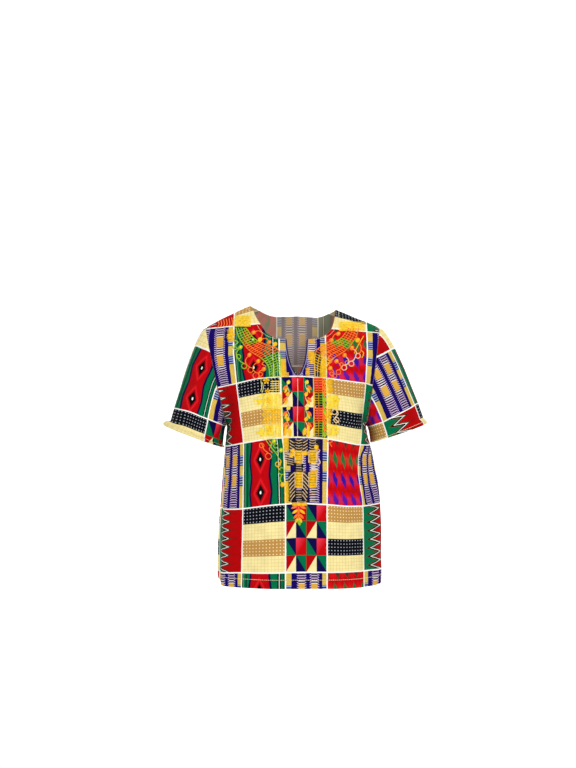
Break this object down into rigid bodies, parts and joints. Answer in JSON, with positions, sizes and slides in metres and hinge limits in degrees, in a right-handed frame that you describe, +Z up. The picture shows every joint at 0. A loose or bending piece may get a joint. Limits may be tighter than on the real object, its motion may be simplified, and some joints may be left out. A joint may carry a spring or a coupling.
{
  "type": "dashiki shirt",
  "caption": "Child's short-sleeved dashiki shirt with a slit neck, turned cuffs and rounded hem, filled out as worn.",
  "frame": {"origin": "centre plane of the neck opening, midway between the inner ends of the two shoulder seams, at shoulder-seam height, where the wearer's shoulders carry the shirt", "axes": "+Z up towards the neck, -Y out of the front of the shirt, +X towards the wearer's left sleeve"},
  "size_m": [0.4384, 0.1816, 0.4668],
  "materials": {
    "printed_cotton": "plain-woven cotton with a patchwork print, matt"
  },
  "bodies": {
    "root": {"front": "printed_cotton", "back": "printed_cotton", "sleeve_left": "printed_cotton", "sleeve_right": "printed_cotton"}
  },
  "joints": []
}
